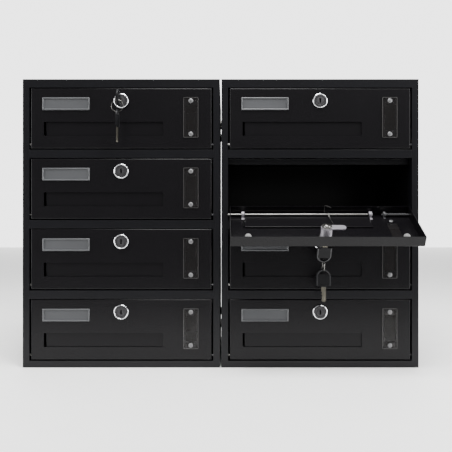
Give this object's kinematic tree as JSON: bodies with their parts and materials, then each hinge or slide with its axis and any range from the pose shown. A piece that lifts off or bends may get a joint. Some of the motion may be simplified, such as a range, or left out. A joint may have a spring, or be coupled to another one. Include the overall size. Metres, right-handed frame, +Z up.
{
  "type": "cluster mailbox unit",
  "caption": "Wall cluster of steel letter boxes in joined cabinets, with drop-down locking doors, letter slots with sprung flaps, windows and label holders.",
  "frame": {"origin": "bottom centre of the box round the whole unit, with the open door counted", "axes": "+X right, +Y into the cabinets towards the wall, +Z up"},
  "size_m": [0.6, 0.3248, 0.437],
  "materials": {
    "case_paint": "black powder coat, fine texture, satin",
    "door_paint": "black powder coat, fine texture, satin",
    "clear_pane": "clear acrylic sheet, polished",
    "label_sheet": "moulded grey label holder with a clear sheet",
    "zinc_hardware": "bright zinc plate on steel and die-cast zinc",
    "zinc_bolts": "bright zinc plate",
    "lock_plug": "chromed zinc die casting",
    "flap_steel": "black powder coat, satin",
    "key_head": "moulded black plastic head on a steel blade",
    "key_ring": "nickel-plated spring wire"
  },
  "bodies": {
    "cabinets": {"left_case": "case_paint", "right_case": "case_paint", "back_panels": "case_paint", "left_shelves": "case_paint", "right_shelves": "case_paint", "joining_bolts": "zinc_bolts"},
    "door_l1": {"door_l1": "door_paint", "window_l1": "clear_pane", "label_l1": "label_sheet", "hardware_l1": "zinc_hardware"},
    "lock_l1": {"lock_l1": "lock_plug", "key_l1": "key_head"},
    "flap_l1": {"flap_l1": "flap_steel"},
    "door_l2": {"door_l2": "door_paint", "window_l2": "clear_pane", "label_l2": "label_sheet", "hardware_l2": "zinc_hardware"},
    "lock_l2": {"lock_l2": "lock_plug"},
    "flap_l2": {"flap_l2": "flap_steel"},
    "door_l3": {"door_l3": "door_paint", "window_l3": "clear_pane", "label_l3": "label_sheet", "hardware_l3": "zinc_hardware"},
    "lock_l3": {"lock_l3": "lock_plug"},
    "flap_l3": {"flap_l3": "flap_steel"},
    "door_l4": {"door_l4": "door_paint", "window_l4": "clear_pane", "label_l4": "label_sheet", "hardware_l4": "zinc_hardware"},
    "lock_l4": {"lock_l4": "lock_plug"},
    "flap_l4": {"flap_l4": "flap_steel"},
    "door_r1": {"door_r1": "door_paint", "window_r1": "clear_pane", "label_r1": "label_sheet", "hardware_r1": "zinc_hardware"},
    "lock_r1": {"lock_r1": "lock_plug"},
    "flap_r1": {"flap_r1": "flap_steel"},
    "door_r2": {"door_r2": "door_paint", "window_r2": "clear_pane", "label_r2": "label_sheet", "hardware_r2": "zinc_hardware"},
    "lock_r2": {"lock_r2": "lock_plug", "key_r2": "key_head"},
    "flap_r2": {"flap_r2": "flap_steel"},
    "door_r3": {"door_r3": "door_paint", "window_r3": "clear_pane", "label_r3": "label_sheet", "hardware_r3": "zinc_hardware"},
    "lock_r3": {"lock_r3": "lock_plug"},
    "flap_r3": {"flap_r3": "flap_steel"},
    "door_r4": {"door_r4": "door_paint", "window_r4": "clear_pane", "label_r4": "label_sheet", "hardware_r4": "zinc_hardware"},
    "lock_r4": {"lock_r4": "lock_plug"},
    "flap_r4": {"flap_r4": "flap_steel"},
    "ring_l1": {"ring_l1": "key_ring"},
    "spare_l1": {"spare_l1": "key_head"},
    "ring_r2": {"ring_r2": "key_ring"},
    "spare_r2": {"spare_r2": "key_head"}
  },
  "joints": [
    {"name": "door_l1_hinge", "type": "hinge", "parent": "cabinets", "child": "door_l1", "pos_m": [-0.15063, -0.08311, 0.3383], "axis": [-1, 0, 0], "range_deg": [-120, 0]},
    {"name": "lock_l1_turn", "type": "hinge", "parent": "door_l1", "child": "lock_l1", "pos_m": [-0.15063, -0.08761, 0.4042], "axis": [0, -1, 0], "range_deg": [0, 90]},
    {"name": "flap_l1_swing", "type": "hinge", "parent": "door_l1", "child": "flap_l1", "pos_m": [-0.15063, -0.08311, 0.3383], "axis": [-1, 0, 0], "range_deg": [0, 60], "stiffness_Nm_per_rad": 0.02, "springref_deg": -34.38},
    {"name": "door_l2_hinge", "type": "hinge", "parent": "cabinets", "child": "door_l2", "pos_m": [-0.15063, -0.08311, 0.2316], "axis": [1, 0, 0], "range_deg": [0, 120]},
    {"name": "lock_l2_turn", "type": "hinge", "parent": "door_l2", "child": "lock_l2", "pos_m": [-0.15063, -0.08761, 0.2975], "axis": [0, -1, 0], "range_deg": [0, 90]},
    {"name": "flap_l2_swing", "type": "hinge", "parent": "door_l2", "child": "flap_l2", "pos_m": [-0.15063, -0.08311, 0.2316], "axis": [-1, 0, 0], "range_deg": [0, 60], "stiffness_Nm_per_rad": 0.02, "springref_deg": -34.38},
    {"name": "door_l3_hinge", "type": "hinge", "parent": "cabinets", "child": "door_l3", "pos_m": [-0.15063, -0.08311, 0.1249], "axis": [1, 0, 0], "range_deg": [0, 120]},
    {"name": "lock_l3_turn", "type": "hinge", "parent": "door_l3", "child": "lock_l3", "pos_m": [-0.15063, -0.08761, 0.1908], "axis": [0, -1, 0], "range_deg": [0, 90]},
    {"name": "flap_l3_swing", "type": "hinge", "parent": "door_l3", "child": "flap_l3", "pos_m": [-0.15063, -0.08311, 0.1249], "axis": [-1, 0, 0], "range_deg": [0, 60], "stiffness_Nm_per_rad": 0.02, "springref_deg": -34.38},
    {"name": "door_l4_hinge", "type": "hinge", "parent": "cabinets", "child": "door_l4", "pos_m": [-0.15063, -0.08311, 0.0182], "axis": [1, 0, 0], "range_deg": [0, 120]},
    {"name": "lock_l4_turn", "type": "hinge", "parent": "door_l4", "child": "lock_l4", "pos_m": [-0.15063, -0.08761, 0.0841], "axis": [0, -1, 0], "range_deg": [0, 90]},
    {"name": "flap_l4_swing", "type": "hinge", "parent": "door_l4", "child": "flap_l4", "pos_m": [-0.15063, -0.08311, 0.0182], "axis": [-1, 0, 0], "range_deg": [0, 60], "stiffness_Nm_per_rad": 0.02, "springref_deg": -34.38},
    {"name": "door_r1_hinge", "type": "hinge", "parent": "cabinets", "child": "door_r1", "pos_m": [0.15063, -0.08311, 0.3383], "axis": [1, 0, 0], "range_deg": [0, 120]},
    {"name": "lock_r1_turn", "type": "hinge", "parent": "door_r1", "child": "lock_r1", "pos_m": [0.15063, -0.08761, 0.4042], "axis": [0, -1, 0], "range_deg": [0, 90]},
    {"name": "flap_r1_swing", "type": "hinge", "parent": "door_r1", "child": "flap_r1", "pos_m": [0.15063, -0.08311, 0.3383], "axis": [-1, 0, 0], "range_deg": [0, 60], "stiffness_Nm_per_rad": 0.02, "springref_deg": -34.38},
    {"name": "door_r2_hinge", "type": "hinge", "parent": "cabinets", "child": "door_r2", "pos_m": [0.15063, -0.08311, 0.2316], "axis": [1, 0, 0], "range_deg": [-120, 0]},
    {"name": "lock_r2_turn", "type": "hinge", "parent": "door_r2", "child": "lock_r2", "pos_m": [0.15063, -0.13793, 0.19475], "axis": [0, 0.5, -0.866], "range_deg": [0, 90]},
    {"name": "flap_r2_swing", "type": "hinge", "parent": "door_r2", "child": "flap_r2", "pos_m": [0.15063, -0.08311, 0.2316], "axis": [-1, 0, 0], "range_deg": [0, 60], "stiffness_Nm_per_rad": 0.02, "springref_deg": -34.38},
    {"name": "door_r3_hinge", "type": "hinge", "parent": "cabinets", "child": "door_r3", "pos_m": [0.15063, -0.08311, 0.1249], "axis": [-1, 0, 0], "range_deg": [-30, 0]},
    {"name": "lock_r3_turn", "type": "hinge", "parent": "door_r3", "child": "lock_r3", "pos_m": [0.15063, -0.08761, 0.1908], "axis": [0, -1, 0], "range_deg": [0, 90]},
    {"name": "flap_r3_swing", "type": "hinge", "parent": "door_r3", "child": "flap_r3", "pos_m": [0.15063, -0.08311, 0.1249], "axis": [-1, 0, 0], "range_deg": [0, 60], "stiffness_Nm_per_rad": 0.02, "springref_deg": -34.38},
    {"name": "door_r4_hinge", "type": "hinge", "parent": "cabinets", "child": "door_r4", "pos_m": [0.15063, -0.08311, 0.0182], "axis": [1, 0, 0], "range_deg": [0, 120]},
    {"name": "lock_r4_turn", "type": "hinge", "parent": "door_r4", "child": "lock_r4", "pos_m": [0.15063, -0.08761, 0.0841], "axis": [0, -1, 0], "range_deg": [0, 90]},
    {"name": "flap_r4_swing", "type": "hinge", "parent": "door_r4", "child": "flap_r4", "pos_m": [0.15063, -0.08311, 0.0182], "axis": [-1, 0, 0], "range_deg": [0, 60], "stiffness_Nm_per_rad": 0.02, "springref_deg": -34.38},
    {"name": "ring_l1_swing", "type": "hinge", "parent": "lock_l1", "child": "ring_l1", "pos_m": [-0.15063, -0.12011, 0.39868], "axis": [1, 0, 0], "range_deg": [-120, 0]},
    {"name": "spare_l1_slide", "type": "hinge", "parent": "ring_l1", "child": "spare_l1", "pos_m": [-0.15063, -0.12011, 0.38998], "axis": [0, 1, 0], "range_deg": [0, 90]},
    {"name": "ring_r2_swing", "type": "hinge", "parent": "lock_r2", "child": "ring_r2", "pos_m": [0.15063, -0.11936, 0.16258], "axis": [1, 0, 0], "range_deg": [0, 78]},
    {"name": "spare_r2_slide", "type": "hinge", "parent": "ring_r2", "child": "spare_r2", "pos_m": [0.15063, -0.11936, 0.15658], "axis": [1, 0, 0], "range_deg": [0, 42]}
  ],
  "couplings": [
    {"joint": "ring_l1_swing", "follows": "door_l1_hinge", "ratio": 1},
    {"joint": "spare_l1_slide", "follows": "lock_l1_turn", "ratio": 1},
    {"joint": "ring_r2_swing", "follows": "door_r2_hinge", "ratio": -0.65},
    {"joint": "spare_r2_slide", "follows": "door_r2_hinge", "ratio": -0.35}
  ]
}
